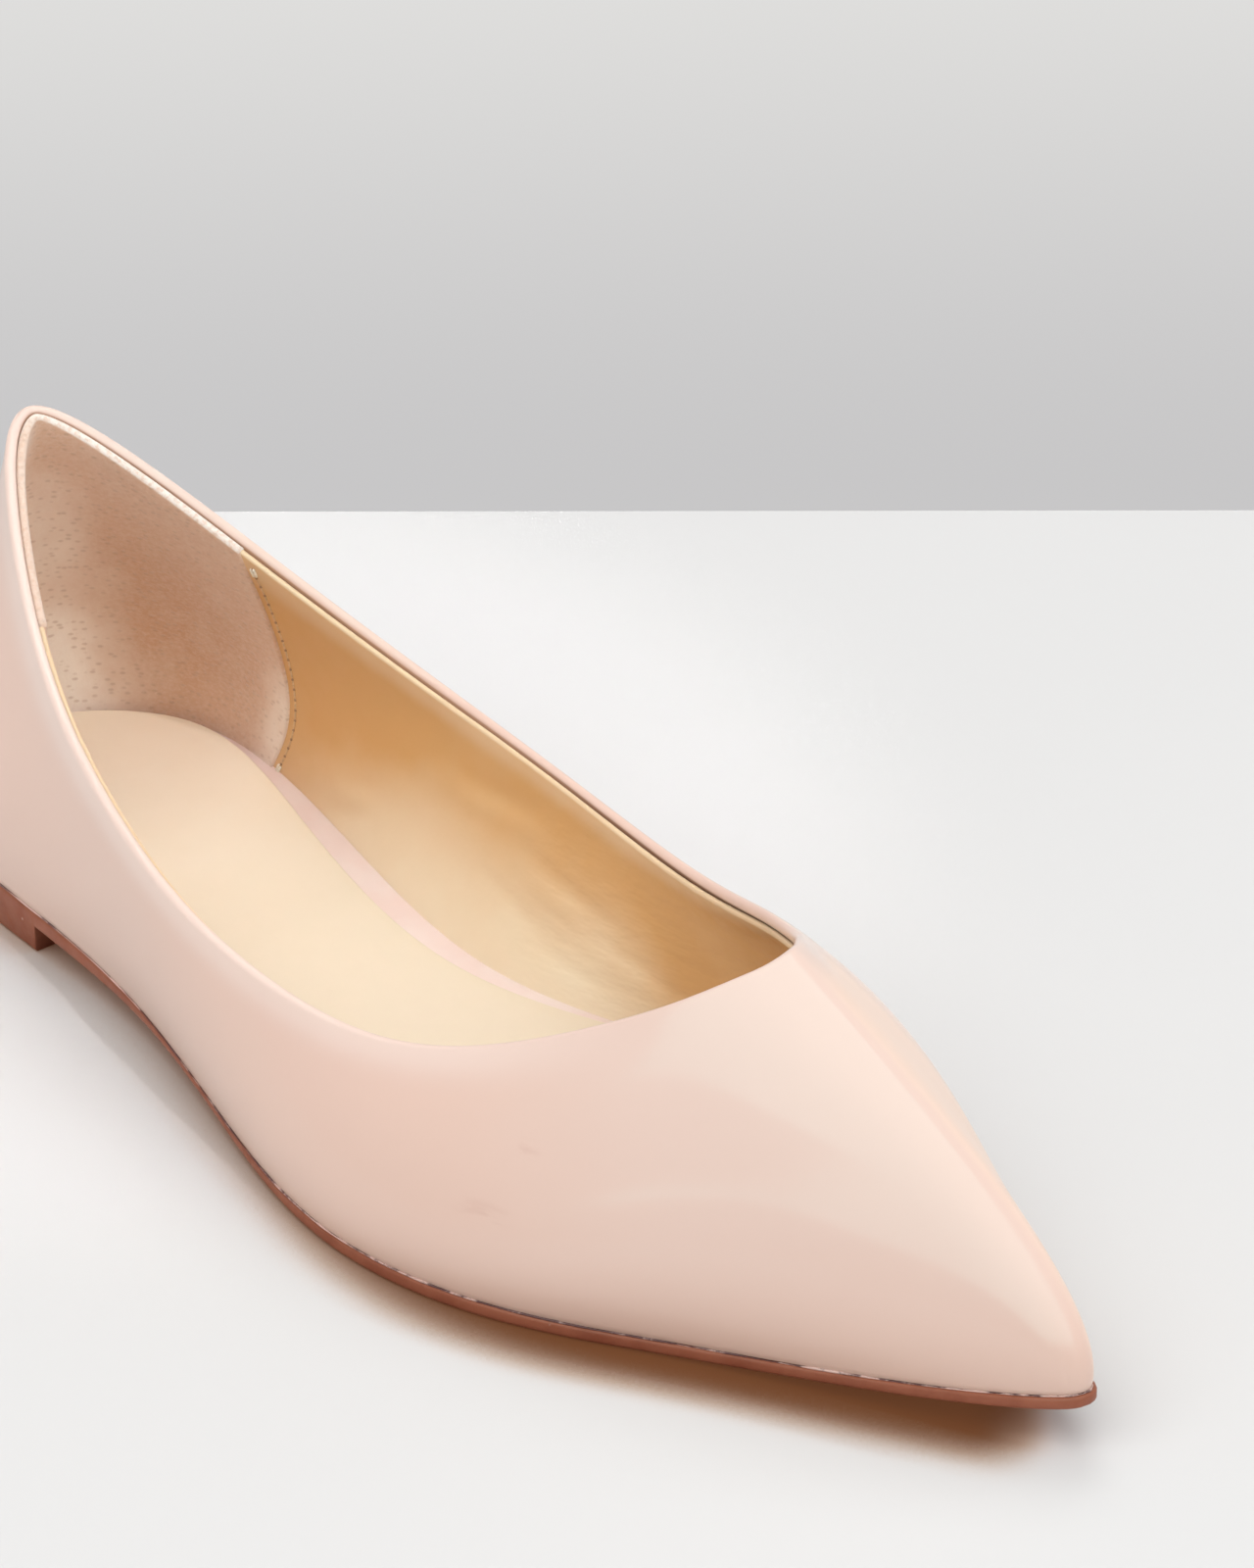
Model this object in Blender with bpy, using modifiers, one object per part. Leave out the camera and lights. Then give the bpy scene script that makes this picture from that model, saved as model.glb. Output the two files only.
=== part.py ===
"""A right pointed flat shoe: outsole with low heel, hollow upper, insole board and sock lining."""
from collections import namedtuple

import bmesh
import bpy
import numpy as np

# Units: the tables are in millimetres, the model is in metres
MM = 0.001

# Frame: tables run from the back of the heel (x = 0) to the toe, y to the wearer's left, floor at 0
CENTRE_X = 126.1
CENTRE_Y = -11.4

# Gaps and walls
GAP = 0.3
UPPER_WALL = 2.0
RIM_ROUND = 0.7
BOARD_THICK = 2.2
SOCK_THICK = 1.2
EDGE_ROUND = 0.4

# Heel block
BREAST_X = 45.5
BREAST_RUN = 0.8
HEEL_TAPER = 0.6

# Spokes of the upper, round the shoe from the toe by the outer side to the back and home by the inner side.
# foot: where the wall meets the sole in plan; rim: the collar edge; bulge and crown: handles of the wall's curve
Spoke = namedtuple("Spoke", "name foot_x foot_y rim_x rim_y rim_z bulge_out bulge_up crown_out crown_drop")
SPOKES = [
    Spoke("toe", 252.6, -6.8, 188.4, -4.7, 50.8, 2.2, 11, 34, 12.6),
    Spoke("toe_outer", 250.8, -9.8, 188.4, -8.6, 50.1, 2.2, 11, 34, 12.2),
    Spoke("tip_outer", 241.5, -14.3, 186.8, -13.2, 48.8, 2.2, 11, 31, 10.5),
    Spoke("vamp_outer_front", 221.5, -22.5, 182.4, -19.2, 45.7, 2.5, 13, 24, 9),
    Spoke("vamp_outer", 197.0, -33.6, 173.6, -25.8, 40.7, 3.0, 14, 16, 8),
    Spoke("ball_outer", 171.5, -46.2, 157.6, -34.6, 33.8, 3.5, 13, 9, 7.5),
    Spoke("joint_outer", 142.0, -50.2, 136.0, -41.4, 30.2, 3.5, 10, 5, 8),
    Spoke("waist_outer", 110.0, -43.3, 106.0, -42.4, 32.6, 3.5, 10, 2.5, 8),
    Spoke("shank_outer", 74.0, -33.7, 76.0, -36.6, 37.6, 4.0, 12, 1.5, 9),
    Spoke("heel_outer", 40.0, -29.2, 46.0, -26.2, 46.4, 4.0, 16, 2.0, 12),
    Spoke("corner_outer", 14.0, -22.0, 20.5, -12.8, 60.6, 4.0, 18, 2.5, 14),
    Spoke("back", 0.0, 0.3, 7.6, 0.6, 68.6, 4.5, 20, 2.0, 16),
    Spoke("corner_inner", 13.6, 22.9, 20.5, 12.2, 61.2, 4.0, 18, 2.5, 14),
    Spoke("heel_inner", 38.0, 25.6, 46.0, 23.2, 46.4, 4.0, 16, 2.5, 12),
    Spoke("shank_inner", 70.0, 18.2, 76.0, 28.2, 37.0, 4.0, 13, 1.0, 10),
    Spoke("waist_inner", 103.0, 14.0, 106.0, 27.4, 33.4, 3.0, 10, 0.5, 8),
    Spoke("joint_inner", 133.0, 21.0, 136.0, 23.4, 32.9, 3.0, 10, 3.0, 8),
    Spoke("ball_inner", 165.0, 27.0, 158.0, 17.4, 37.2, 3.5, 13, 9, 8),
    Spoke("vamp_inner", 195.0, 22.0, 172.0, 11.5, 41.4, 3.5, 16, 16, 7.5),
    Spoke("vamp_inner_front", 221.0, 10.0, 179.4, 5.9, 45.4, 3.2, 15, 25, 9.5),
    Spoke("tip_inner", 240.5, 0.4, 184.0, 1.7, 48.3, 2.8, 13, 32, 11.5),
    Spoke("toe_inner", 250.2, -4.0, 186.7, -1.4, 49.9, 2.6, 12, 34, 12.8),
]
BACK_ROW = 11
COLUMNS_PER_SPOKE = 5
WALL_ROWS = 12
LEAN_START = 6.0
LEAN_END = 20.0

# Underside of the sole along x: the waist is raised, the forefoot lies on the floor, the toe springs
Side = namedtuple("Side", "x underside thick proud")
SIDES = [
    Side(0.0, 6.2, 2.5, 0.2),
    Side(28.0, 5.2, 2.5, 0.2),
    Side(58.0, 4.4, 2.4, 0.2),
    Side(78.0, 4.1, 1.5, 0.2),
    Side(98.0, 3.0, 1.0, 0.2),
    Side(118.0, 1.1, 1.5, 0.2),
    Side(142.0, 0.0, 2.0, 0.3),
    Side(185.0, 0.0, 2.0, 0.4),
    Side(205.0, 0.7, 1.9, 0.4),
    Side(222.0, 2.3, 1.8, 0.5),
    Side(238.0, 4.6, 1.8, 0.6),
    Side(254.0, 7.9, 1.8, 0.7),
]

# How far the sock lining stops short of the board's edge
Margin = namedtuple("Margin", "x inset")
SOCK_MARGINS = [
    Margin(0.0, 1.4),
    Margin(34.0, 2.5),
    Margin(55.0, 4.0),
    Margin(76.0, 4.8),
    Margin(102.0, 4.4),
    Margin(126.0, 2.6),
    Margin(160.0, 1.6),
    Margin(254.0, 1.2),
]

# Cross stations of the flat pieces, from the toe back
STATION_STEP = 6.5
SOLE_LAST_X = 248.0
BOARD_LAST_X = 243.0
SOCK_LAST_X = 236.0
TIP_SHARE = 2.1
TIP_STATIONS = (0.5, 1.2, 2.4)
END_STATIONS = (0.5, 1.6, 3.6, 6.4, 10.0)


def closed_spline(rows):
    """Control rows of the smooth closed cubic through the given rows."""
    rows = np.asarray(rows, float)
    count = len(rows)
    eye = np.eye(count)
    matrix = (4 * eye + np.roll(eye, 1, 0) + np.roll(eye, -1, 0)) / 6
    return np.linalg.solve(matrix, rows)


def closed_values(control, places):
    """Values of the closed cubic at the places, counted in rows."""
    count = len(control)
    places = np.asarray(places, float) % count
    row = np.floor(places).astype(int) % count
    part = (places - np.floor(places))[:, None]
    before = control[(row - 1) % count]
    here = control[row]
    after = control[(row + 1) % count]
    beyond = control[(row + 2) % count]
    total = (1 - part) ** 3 * before
    total = total + (3 * part ** 3 - 6 * part ** 2 + 4) * here
    total = total + (-3 * part ** 3 + 3 * part ** 2 + 3 * part + 1) * after
    total = total + part ** 3 * beyond
    return total / 6


def open_spline(knots, values):
    """A natural cubic through the knots, as a function."""
    knots = np.asarray(knots, float)
    values = np.asarray(values, float)
    count = len(knots)
    step = np.diff(knots)
    matrix = np.eye(count)
    right = np.zeros(count)
    for i in range(1, count - 1):
        matrix[i, i - 1:i + 2] = step[i - 1], 2 * (step[i - 1] + step[i]), step[i]
        right[i] = 6 * ((values[i + 1] - values[i]) / step[i] - (values[i] - values[i - 1]) / step[i - 1])
    bend = np.linalg.solve(matrix, right)

    def value(x):
        x = np.clip(np.asarray(x, float), knots[0], knots[-1])
        i = np.clip(np.searchsorted(knots, x) - 1, 0, count - 2)
        gone = x - knots[i]
        left = knots[i + 1] - x
        wide = step[i]
        curve = (bend[i] * left ** 3 + bend[i + 1] * gone ** 3) / (6 * wide)
        line = (values[i] / wide - bend[i] * wide / 6) * left
        return curve + line + (values[i + 1] / wide - bend[i + 1] * wide / 6) * gone

    return value


SIDE_X = [side.x for side in SIDES]
SPOKE_CONTROL = closed_spline([spoke[1:] for spoke in SPOKES])
free_underside = open_spline(SIDE_X, [side.underside for side in SIDES])
thickness = open_spline(SIDE_X, [side.thick for side in SIDES])
proud = open_spline(SIDE_X, [side.proud for side in SIDES])
sock_margin = open_spline([margin.x for margin in SOCK_MARGINS], [margin.inset for margin in SOCK_MARGINS])


def underside(x):
    """Underside of the sole, kept on or above the floor."""
    return np.maximum(free_underside(x), 0.0)


def sole_top(x):
    """Top face of the sole."""
    return underside(x) + thickness(x)


def sole_bottom(x):
    """Lowest face of the moulded sole, with the heel block down to the floor."""
    return np.where(np.asarray(x) < BREAST_X + 0.5 * BREAST_RUN, 0.0, underside(x))


def foot_outline(places):
    """Plan points where the wall meets the sole, and their outward directions."""
    small = 1e-3
    plan = closed_values(SPOKE_CONTROL, places)[:, :2]
    ahead = closed_values(SPOKE_CONTROL, np.asarray(places) + small)[:, :2]
    behind = closed_values(SPOKE_CONTROL, np.asarray(places) - small)[:, :2]
    along = ahead - behind
    out = np.stack([-along[:, 1], along[:, 0]], 1)
    return plan, out / np.linalg.norm(out, axis=1, keepdims=True)


def wall_handles(places):
    """The four handles of the wall's curve at each place: foot, bulge, crown, rim."""
    values = closed_values(SPOKE_CONTROL, places)
    foot_x, foot_y, rim_x, rim_y, rim_z, bulge_out, bulge_up, crown_out, crown_drop = values.T
    plan, out = foot_outline(places)
    foot = np.stack([foot_x, foot_y, sole_top(foot_x) + GAP], 1)
    rim = np.stack([rim_x, rim_y, rim_z], 1)
    bulge = foot + np.stack([out[:, 0] * bulge_out, out[:, 1] * bulge_out, bulge_up], 1)
    lean = plan - rim[:, :2]
    reach = np.linalg.norm(lean, axis=1, keepdims=True)
    share = np.clip((reach - LEAN_START) / (LEAN_END - LEAN_START), 0, 1)
    away = share * lean / np.maximum(reach, 1e-6) + (1 - share) * out
    away = away / np.linalg.norm(away, axis=1, keepdims=True)
    crown = rim + np.stack([away[:, 0] * crown_out, away[:, 1] * crown_out, -crown_drop], 1)
    return foot, bulge, crown, rim


def wall_surface(places, heights):
    """Points of the outer wall, places by heights."""
    foot, bulge, crown, rim = (handle[:, None] for handle in wall_handles(places))
    t = np.asarray(heights)[None, :, None]
    return (1 - t) ** 3 * foot + 3 * (1 - t) ** 2 * t * bulge + 3 * (1 - t) * t ** 2 * crown + t ** 3 * rim


def shifted(points):
    """Table points in the model's frame and units."""
    return (np.asarray(points, float) - np.array([CENTRE_X, CENTRE_Y, 0.0])) * MM


def material(name, colour, roughness):
    made = bpy.data.materials.new(name)
    made.use_nodes = True
    shader = made.node_tree.nodes["Principled BSDF"]
    shader.inputs["Base Color"].default_value = (*colour, 1.0)
    shader.inputs["Roughness"].default_value = roughness
    return made


def add_object(name, points, faces, look, collection):
    """A named mesh object with outward faces."""
    mesh = bpy.data.meshes.new(name)
    mesh.from_pydata([tuple(point) for point in shifted(points)], [], faces)
    build = bmesh.new()
    build.from_mesh(mesh)
    bmesh.ops.recalc_face_normals(build, faces=build.faces)
    build.to_mesh(mesh)
    build.free()
    mesh.materials.append(look)
    made = bpy.data.objects.new(name, mesh)
    collection.objects.link(made)
    return made


def station_places(last_x, tips):
    """Places on the outer and inner side at the same cross stations, toe to heel."""
    fine = np.linspace(0, len(SPOKES), 6001)
    plan, _ = foot_outline(fine)
    steps = np.arange(BREAST_X + BREAST_RUN + STATION_STEP, last_x, STATION_STEP)
    back = np.arange(END_STATIONS[-1] + STATION_STEP, BREAST_X - 2, STATION_STEP)
    heel_x = plan[:, 0].min()
    ends = heel_x + np.array(END_STATIONS)
    breast = [BREAST_X, BREAST_X + BREAST_RUN]
    tip = plan[:, 0].max() - np.array(tips)
    stations = np.sort(np.concatenate([steps, back, ends, breast, [last_x], tip]))[::-1]
    outer = fine <= BACK_ROW
    inner = fine >= BACK_ROW
    outer_places = np.interp(stations, plan[outer, 0][::-1], fine[outer][::-1])
    inner_places = np.interp(stations, plan[inner, 0], fine[inner])
    return outer_places, inner_places


def plate(name, last_x, tips, rings, look, collection):
    """A sheet between ring levels; each ring gives an inset and a height along x."""
    outer, inner = station_places(last_x, tips)
    places = np.concatenate([[0.0], outer, [float(BACK_ROW)], inner[::-1]])
    plan, out = foot_outline(places)
    count = len(places)
    half = len(outer)
    points = []
    for inset, height in rings:
        depth = inset(plan[:, 0])
        ring = plan - out * depth[:, None]
        ring[0] = plan[0] - np.array([depth[0] * (1.0 if tips else TIP_SHARE), 0.0])
        points.append(np.column_stack([ring, height(plan[:, 0])]))
    faces = []
    for level in range(len(rings) - 1):
        low = level * count
        high = low + count
        for i in range(count):
            after = (i + 1) % count
            faces.append((low + i, low + after, high + after, high + i))
    for base in (0, (len(rings) - 1) * count):
        faces.append((base, base + 1, base + count - 1))
        for i in range(1, half):
            faces.append((base + i, base + i + 1, base + count - 1 - i, base + count - i))
        faces.append((base + half, base + half + 1, base + half + 2))
    return add_object(name, np.concatenate(points), faces, look, collection)


def make_outsole(collection):
    """Moulded sole with the heel block in one piece."""
    look = material("outsole_rubber", (0.32, 0.13, 0.09), 0.5)

    def flush(x):
        return -proud(x)

    def eased(x):
        return EDGE_ROUND - proud(x)

    def tapered(x):
        return np.where(x < BREAST_X + 0.5 * BREAST_RUN, HEEL_TAPER, 0.0) - proud(x)

    def tapered_eased(x):
        return tapered(x) + EDGE_ROUND

    rings = [
        (eased, sole_top),
        (flush, lambda x: sole_top(x) - EDGE_ROUND),
        (flush, lambda x: sole_top(x) - 0.55 * thickness(x)),
        (tapered, lambda x: sole_bottom(x) + EDGE_ROUND),
        (tapered_eased, sole_bottom),
    ]
    return plate("outsole", SOLE_LAST_X, TIP_STATIONS, rings, look, collection)


def make_insole_board(collection):
    """Covered board that closes the upper from inside."""
    look = material("insole_cover", (0.80, 0.58, 0.52), 0.6)
    inside = UPPER_WALL + GAP

    def edge(x):
        return np.full_like(x, inside)

    def eased(x):
        return np.full_like(x, inside + EDGE_ROUND)

    rings = [
        (eased, lambda x: sole_top(x) + GAP),
        (edge, lambda x: sole_top(x) + GAP + EDGE_ROUND),
        (edge, lambda x: sole_top(x) + GAP + BOARD_THICK - EDGE_ROUND),
        (eased, lambda x: sole_top(x) + GAP + BOARD_THICK),
    ]
    return plate("insole_board", BOARD_LAST_X, (), rings, look, collection)


def make_sock_lining(collection):
    """Thin footbed sheet on the board."""
    look = material("sock_sheet", (0.85, 0.68, 0.50), 0.7)

    def edge(x):
        return UPPER_WALL + GAP + sock_margin(x)

    def eased(x):
        return edge(x) + EDGE_ROUND

    def level(rise):
        return lambda x: sole_top(x) + GAP + BOARD_THICK + GAP + rise

    rings = [
        (edge, level(0.0)),
        (edge, level(SOCK_THICK - EDGE_ROUND)),
        (eased, level(SOCK_THICK)),
    ]
    return plate("sock_lining", SOCK_LAST_X, (), rings, look, collection)


def make_upper(collection):
    """One hollow leather shell, open at the collar and underneath."""
    look = material("patent_leather", (0.82, 0.62, 0.55), 0.15)
    columns = len(SPOKES) * COLUMNS_PER_SPOKE
    places = np.arange(columns) / COLUMNS_PER_SPOKE
    heights = np.linspace(0, 1, WALL_ROWS + 1)
    points = wall_surface(places, heights).reshape(-1, 3)
    rows = WALL_ROWS + 1
    faces = []
    for i in range(columns):
        after = (i + 1) % columns
        for j in range(WALL_ROWS):
            faces.append((i * rows + j, after * rows + j, after * rows + j + 1, i * rows + j + 1))
    made = add_object("upper", points, faces, look, collection)
    weights = made.data.attributes.new("bevel_weight_edge", "FLOAT", "EDGE")
    for edge in made.data.edges:
        on_rim = all(index % rows == WALL_ROWS for index in edge.vertices)
        weights.data[edge.index].value = 1.0 if on_rim else 0.0
    shell = made.modifiers.new("wall", "SOLIDIFY")
    shell.thickness = UPPER_WALL * MM
    shell.offset = -1.0
    shell.use_even_offset = True
    shell.use_rim = True
    roll = made.modifiers.new("rim_round", "BEVEL")
    roll.width = RIM_ROUND * MM
    roll.segments = 2
    roll.limit_method = "WEIGHT"
    return made


def clear_scene():
    for item in list(bpy.data.objects):
        bpy.data.objects.remove(item, do_unlink=True)


def main():
    clear_scene()
    collection = bpy.data.collections.new("pointed_flat")
    bpy.context.scene.collection.children.link(collection)
    make_outsole(collection)
    make_upper(collection)
    make_insole_board(collection)
    make_sock_lining(collection)


main()
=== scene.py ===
"""Looks of a right pointed flat shoe in nude patent leather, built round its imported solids."""
import math
from collections import namedtuple

import bmesh
import bpy
import numpy as np
from mathutils import Matrix, Vector


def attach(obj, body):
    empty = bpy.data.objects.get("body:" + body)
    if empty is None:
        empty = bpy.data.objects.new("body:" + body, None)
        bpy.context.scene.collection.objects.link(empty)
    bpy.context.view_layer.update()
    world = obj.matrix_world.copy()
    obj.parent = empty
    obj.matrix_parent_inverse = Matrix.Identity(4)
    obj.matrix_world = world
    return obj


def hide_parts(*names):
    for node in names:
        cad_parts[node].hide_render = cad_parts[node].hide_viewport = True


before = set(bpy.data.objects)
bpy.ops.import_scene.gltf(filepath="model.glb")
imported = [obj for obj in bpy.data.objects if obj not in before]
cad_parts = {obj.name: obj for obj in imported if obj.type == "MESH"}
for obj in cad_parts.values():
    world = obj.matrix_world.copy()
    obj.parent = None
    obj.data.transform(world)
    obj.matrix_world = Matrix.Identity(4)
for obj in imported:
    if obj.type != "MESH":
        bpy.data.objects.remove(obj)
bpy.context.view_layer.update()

# Units and frame: the tables are in millimetres, the model is in metres
MM = 0.001
CENTRE_X = 126.1
CENTRE_Y = -11.4

# Step for slopes, and a floor for lengths that are divided by
SMALL = 1e-3
TINY = 1e-9

# The shoe's own sizes, the same as in the part's source
GAP = 0.3
UPPER_WALL = 2.0
BOARD_THICK = 2.2
SOCK_THICK = 1.2
BREAST_X = 45.5
BREAST_RUN = 0.8
HEEL_TAPER = 0.6
BACK_ROW = 11
LEAN_START = 6.0
LEAN_END = 20.0

# Spokes of the upper, round the shoe from the toe by the outer side to the back and home by the inner side
Spoke = namedtuple("Spoke", "name foot_x foot_y rim_x rim_y rim_z bulge_out bulge_up crown_out crown_drop")
SPOKES = [
    Spoke("toe", 252.6, -6.8, 188.4, -4.7, 50.8, 2.2, 11, 34, 12.6),
    Spoke("toe_outer", 250.8, -9.8, 188.4, -8.6, 50.1, 2.2, 11, 34, 12.2),
    Spoke("tip_outer", 241.5, -14.3, 186.8, -13.2, 48.8, 2.2, 11, 31, 10.5),
    Spoke("vamp_outer_front", 221.5, -22.5, 182.4, -19.2, 45.7, 2.5, 13, 24, 9),
    Spoke("vamp_outer", 197.0, -33.6, 173.6, -25.8, 40.7, 3.0, 14, 16, 8),
    Spoke("ball_outer", 171.5, -46.2, 157.6, -34.6, 33.8, 3.5, 13, 9, 7.5),
    Spoke("joint_outer", 142.0, -50.2, 136.0, -41.4, 30.2, 3.5, 10, 5, 8),
    Spoke("waist_outer", 110.0, -43.3, 106.0, -42.4, 32.6, 3.5, 10, 2.5, 8),
    Spoke("shank_outer", 74.0, -33.7, 76.0, -36.6, 37.6, 4.0, 12, 1.5, 9),
    Spoke("heel_outer", 40.0, -29.2, 46.0, -26.2, 46.4, 4.0, 16, 2.0, 12),
    Spoke("corner_outer", 14.0, -22.0, 20.5, -12.8, 60.6, 4.0, 18, 2.5, 14),
    Spoke("back", 0.0, 0.3, 7.6, 0.6, 68.6, 4.5, 20, 2.0, 16),
    Spoke("corner_inner", 13.6, 22.9, 20.5, 12.2, 61.2, 4.0, 18, 2.5, 14),
    Spoke("heel_inner", 38.0, 25.6, 46.0, 23.2, 46.4, 4.0, 16, 2.5, 12),
    Spoke("shank_inner", 70.0, 18.2, 76.0, 28.2, 37.0, 4.0, 13, 1.0, 10),
    Spoke("waist_inner", 103.0, 14.0, 106.0, 27.4, 33.4, 3.0, 10, 0.5, 8),
    Spoke("joint_inner", 133.0, 21.0, 136.0, 23.4, 32.9, 3.0, 10, 3.0, 8),
    Spoke("ball_inner", 165.0, 27.0, 158.0, 17.4, 37.2, 3.5, 13, 9, 8),
    Spoke("vamp_inner", 195.0, 22.0, 172.0, 11.5, 41.4, 3.5, 16, 16, 7.5),
    Spoke("vamp_inner_front", 221.0, 10.0, 179.4, 5.9, 45.4, 3.2, 15, 25, 9.5),
    Spoke("tip_inner", 240.5, 0.4, 184.0, 1.7, 48.3, 2.8, 13, 32, 11.5),
    Spoke("toe_inner", 250.2, -4.0, 186.7, -1.4, 49.9, 2.6, 12, 34, 12.8),
]

# The sole along x: underside, thickness, and how far it stands out past the upper
SIDE_X = (0, 28, 58, 78, 98, 118, 142, 185, 205, 222, 238, 254)
SIDE_UNDER = (6.2, 5.2, 4.4, 4.1, 3.0, 1.1, 0.0, 0.0, 0.7, 2.3, 4.6, 7.9)
SIDE_THICK = (2.5, 2.5, 2.4, 1.5, 1.0, 1.5, 2.0, 2.0, 1.9, 1.8, 1.8, 1.8)
SIDE_PROUD = (0.2, 0.2, 0.2, 0.2, 0.2, 0.2, 0.3, 0.4, 0.4, 0.5, 0.6, 0.7)

# How far the sock lining stops short of the board's edge, by x
SOCK_MARGINS = {0.0: 1.4, 34.0: 2.5, 55.0: 4.0, 76.0: 4.8, 102.0: 4.4, 126.0: 2.6, 160.0: 1.6, 254.0: 1.2}

# Leather, lining and heel lining: radii, depths under the collar's top and distances from the outer face
ROLL = 0.9
FLAP_DEPTH = 5.0
LEATHER_THICK = 0.9
LINING_FRONT = 1.85
LINING_EDGE = 0.5
LINING_THICK = 0.65
LINING_SETTLE = 7.0
LINING_DROP = 0.55
LINER_EXTRA = 0.45
LINER_RISE = 0.25

# How far the board's edge reaches under the lining
BOARD_TUCK = 0.6

# Front seam of the heel lining on the inner side: place along the spokes, by height share of the wall
HEEL_SEAM = {0.0: 12.96, 0.15: 13.03, 0.3: 13.02, 0.45: 12.95, 0.6: 12.87, 0.8: 12.77, 1.0: 12.69}

# Soft creases: ends as place and height share of the wall, half width and depth in millimetres
Crease = namedtuple("Crease", "name place_a height_a place_b height_b width depth")
LINING_CREASES = [
    Crease("upper fold", 14.25, 0.64, 14.85, 0.72, 1.8, 0.35),
    Crease("upper ridge", 14.40, 0.55, 14.95, 0.64, 1.6, -0.25),
    Crease("middle fold", 14.95, 0.54, 15.75, 0.44, 1.4, 0.4),
    Crease("middle ridge", 15.05, 0.45, 15.70, 0.37, 1.3, -0.3),
    Crease("low fold", 15.35, 0.44, 16.05, 0.28, 1.3, 0.4),
    Crease("low ridge", 15.45, 0.34, 16.0, 0.22, 1.2, -0.3),
    Crease("fine fold", 14.75, 0.36, 15.35, 0.27, 1.2, 0.28),
    Crease("fine low fold", 15.2, 0.24, 15.75, 0.16, 1.1, 0.28),
    Crease("pucker fold", 13.61, 0.08, 13.87, 0.17, 0.8, 0.7),
    Crease("pucker ridge", 13.57, 0.15, 13.84, 0.24, 1.0, -0.45),
    Crease("pucker end", 13.33, 0.08, 13.40, 0.16, 0.8, 0.5),
    Crease("outer fold", 7.3, 0.60, 6.7, 0.70, 2.4, 0.3),
    Crease("outer low fold", 6.6, 0.45, 6.0, 0.36, 2.2, 0.3),
]
LEATHER_CREASES = [
    Crease("counter edge", 6.92, 0.90, 6.55, 0.55, 1.6, 0.06),
    Crease("counter edge foot", 6.55, 0.55, 6.25, 0.40, 1.6, 0.05),
    Crease("toe nick", 0.86, 0.05, 0.80, 0.10, 0.4, 0.07),
]


def closed_spline(rows):
    """Control rows of the smooth closed cubic through the given rows."""
    rows = np.asarray(rows, float)
    eye = np.eye(len(rows))
    matrix = (4 * eye + np.roll(eye, 1, 0) + np.roll(eye, -1, 0)) / 6
    return np.linalg.solve(matrix, rows)


def closed_values(control, places):
    """Values of the closed cubic at the places, counted in rows."""
    count = len(control)
    places = np.asarray(places, float) % count
    row = np.floor(places).astype(int) % count
    part = (places - np.floor(places))[..., None]
    weights = (
        (1 - part) ** 3,
        3 * part ** 3 - 6 * part ** 2 + 4,
        -3 * part ** 3 + 3 * part ** 2 + 3 * part + 1,
        part ** 3,
    )
    return sum(weight * control[(row + k) % count] for k, weight in enumerate(weights, -1)) / 6


def open_spline(knots, values):
    """A natural cubic through the knots, as a function."""
    knots = np.asarray(knots, float)
    values = np.asarray(values, float)
    count = len(knots)
    step = np.diff(knots)
    matrix = np.eye(count)
    right = np.zeros(count)
    for i in range(1, count - 1):
        matrix[i, i - 1:i + 2] = step[i - 1], 2 * (step[i - 1] + step[i]), step[i]
        right[i] = 6 * ((values[i + 1] - values[i]) / step[i] - (values[i] - values[i - 1]) / step[i - 1])
    bend = np.linalg.solve(matrix, right)

    def value(x):
        x = np.clip(np.asarray(x, float), knots[0], knots[-1])
        i = np.clip(np.searchsorted(knots, x) - 1, 0, count - 2)
        gone = x - knots[i]
        left = knots[i + 1] - x
        wide = step[i]
        curve = (bend[i] * left ** 3 + bend[i + 1] * gone ** 3) / (6 * wide)
        line = (values[i] / wide - bend[i] * wide / 6) * left
        return curve + line + (values[i + 1] / wide - bend[i + 1] * wide / 6) * gone

    return value


SPOKE_CONTROL = closed_spline([spoke[1:] for spoke in SPOKES])
free_underside = open_spline(SIDE_X, SIDE_UNDER)
thickness = open_spline(SIDE_X, SIDE_THICK)
proud = open_spline(SIDE_X, SIDE_PROUD)
sock_margin = open_spline(list(SOCK_MARGINS), list(SOCK_MARGINS.values()))
seam_place = open_spline(list(HEEL_SEAM), list(HEEL_SEAM.values()))


def underside(x):
    """Underside of the sole, kept on or above the floor."""
    return np.maximum(free_underside(x), 0.0)


def sole_top(x):
    """Top face of the sole."""
    return underside(x) + thickness(x)


def sole_bottom(x):
    """Lowest face of the moulded sole, with the heel block down to the floor."""
    return np.where(np.asarray(x) < BREAST_X + 0.5 * BREAST_RUN, 0.0, underside(x))


def unit(vectors):
    """The same directions with length one."""
    return vectors / np.maximum(np.linalg.norm(vectors, axis=-1, keepdims=True), TINY)


def foot_outline(places):
    """Plan points where the wall meets the sole, and their outward directions."""
    plan = closed_values(SPOKE_CONTROL, places)[..., :2]
    ahead = closed_values(SPOKE_CONTROL, np.asarray(places) + SMALL)[..., :2]
    behind = closed_values(SPOKE_CONTROL, np.asarray(places) - SMALL)[..., :2]
    along = ahead - behind
    return plan, unit(np.stack([-along[..., 1], along[..., 0]], -1))


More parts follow.
